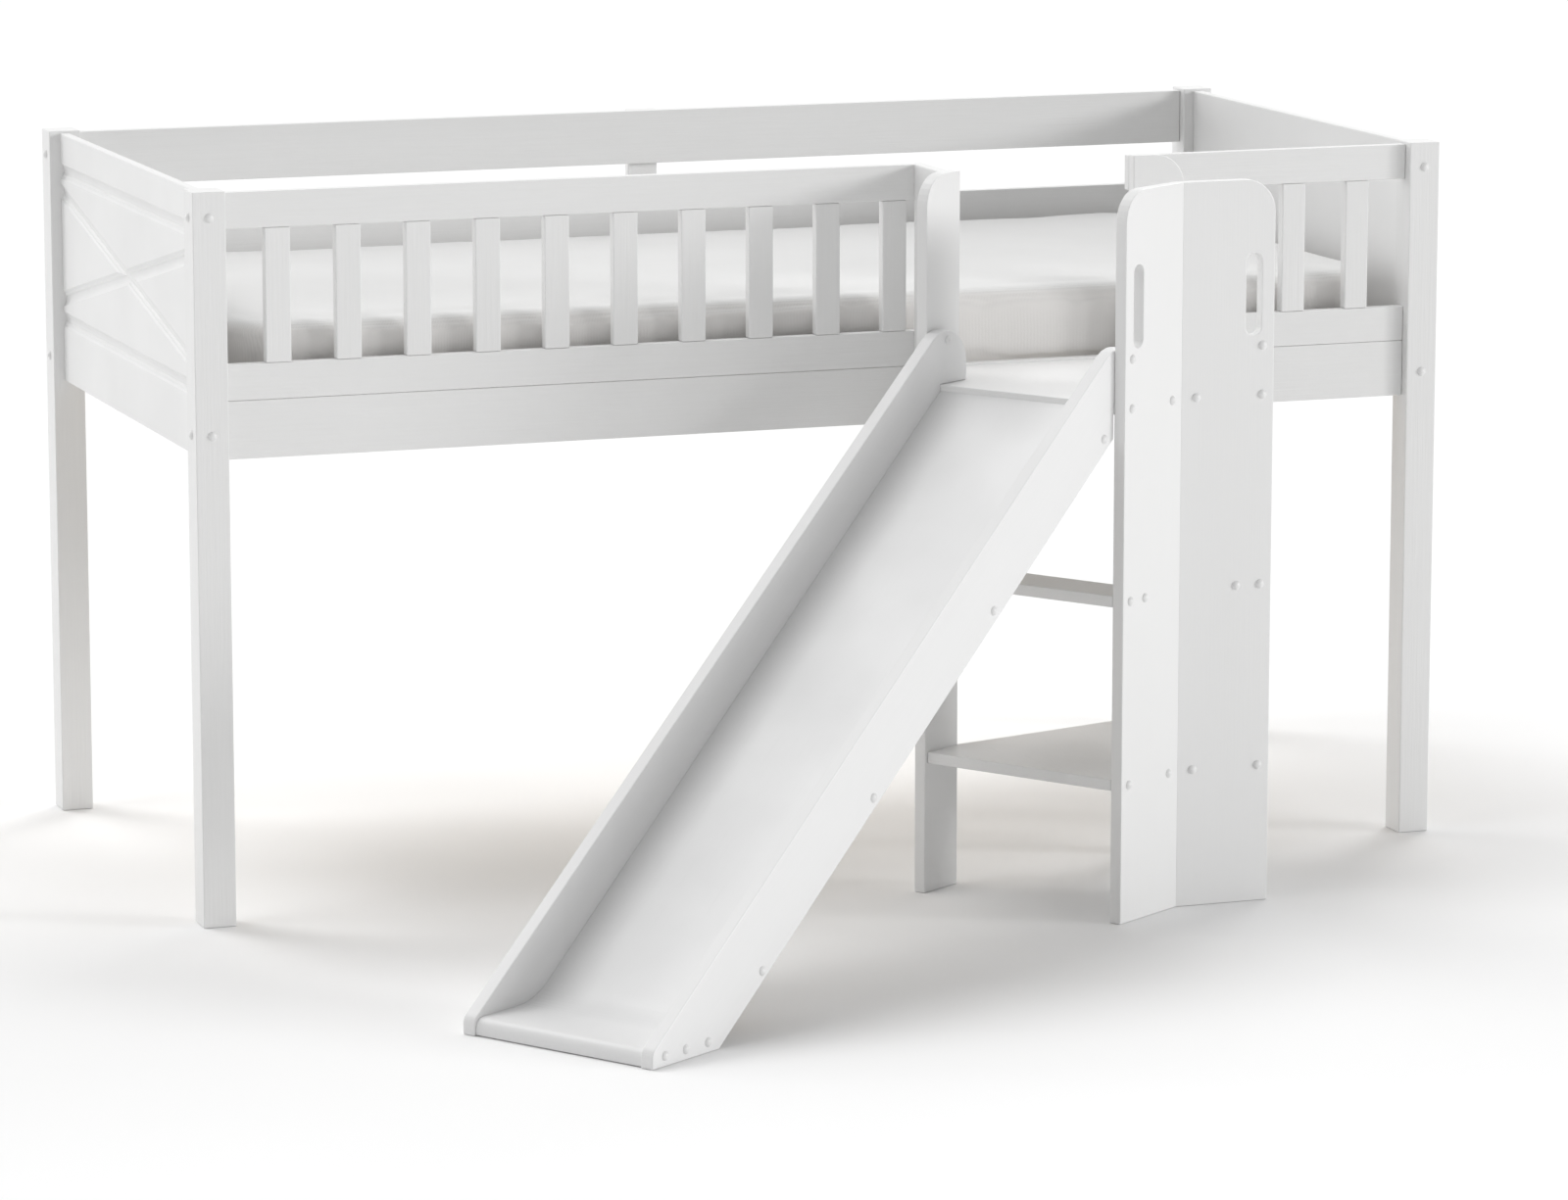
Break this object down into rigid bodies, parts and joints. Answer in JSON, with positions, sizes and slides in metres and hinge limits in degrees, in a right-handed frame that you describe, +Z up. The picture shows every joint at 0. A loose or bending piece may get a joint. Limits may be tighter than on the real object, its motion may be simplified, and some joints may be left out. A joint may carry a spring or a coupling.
{
  "type": "loft bed with slide",
  "caption": "Mid-height child's loft bed in white painted wood, with slatted guards, an angled corner deck with climbing treads and a straight slide with a level run-out.",
  "frame": {"origin": "middle of the footprint, on the floor", "axes": "+X along the bed towards the climbing side, +Y from the open front with the slide to the back, +Z up"},
  "size_m": [2.078, 2.0295, 1.14],
  "materials": {
    "white_paint": "satin white paint over wood, with the grain showing faintly",
    "slide_paint": "smooth semi-gloss white paint",
    "bare_pine": "planed bare pine",
    "ticking": "woven mattress ticking"
  },
  "bodies": {
    "bed": {"back_ledger": "bare_pine", "back_left_post": "white_paint", "back_middle_rail": "white_paint", "back_right_post": "white_paint", "back_side_rail": "white_paint", "back_top_rail": "white_paint", "back_upright": "white_paint", "base_slat_01": "bare_pine", "base_slat_02": "bare_pine", "base_slat_03": "bare_pine", "base_slat_04": "bare_pine", "base_slat_05": "bare_pine", "base_slat_06": "bare_pine", "base_slat_07": "bare_pine", "base_slat_08": "bare_pine", "base_slat_09": "bare_pine", "base_slat_10": "bare_pine", "base_slat_11": "bare_pine", "climbing_narrow_board": "white_paint", "climbing_side_rung": "white_paint", "climbing_wide_board": "white_paint", "closing_board": "white_paint", "deck": "white_paint", "front_ledger": "bare_pine", "front_left_post": "white_paint", "front_right_post": "white_paint", "front_side_rail": "white_paint", "left_baluster_01": "white_paint", "left_baluster_02": "white_paint", "left_baluster_03": "white_paint", "left_baluster_04": "white_paint", "left_baluster_05": "white_paint", "left_baluster_06": "white_paint", "left_baluster_07": "white_paint", "left_baluster_08": "white_paint", "left_baluster_09": "white_paint", "left_baluster_10": "white_paint", "left_end_panel": "white_paint", "left_guard_bottom_rail": "white_paint", "left_guard_top_rail": "white_paint", "lower_tread": "white_paint", "right_baluster_01": "white_paint", "right_baluster_02": "white_paint", "right_baluster_03": "white_paint", "right_baluster_04": "white_paint", "right_end_panel": "white_paint", "right_guard_bottom_rail": "white_paint", "right_guard_top_rail": "white_paint", "slide_batten_1": "bare_pine", "slide_batten_2": "bare_pine", "slide_batten_3": "bare_pine", "slide_batten_4": "bare_pine", "slide_foot_block": "slide_paint", "slide_left_side": "slide_paint", "slide_narrow_board": "white_paint", "slide_right_side": "slide_paint", "slide_sheet": "slide_paint", "slide_side_rung": "white_paint", "slide_wide_board": "white_paint"},
    "mattress": {"mattress": "ticking"}
  },
  "joints": [
    {"name": "mattress_lift", "type": "slide", "parent": "bed", "child": "mattress", "axis": [0, 0, 1], "range_m": [0, 0.4]}
  ]
}
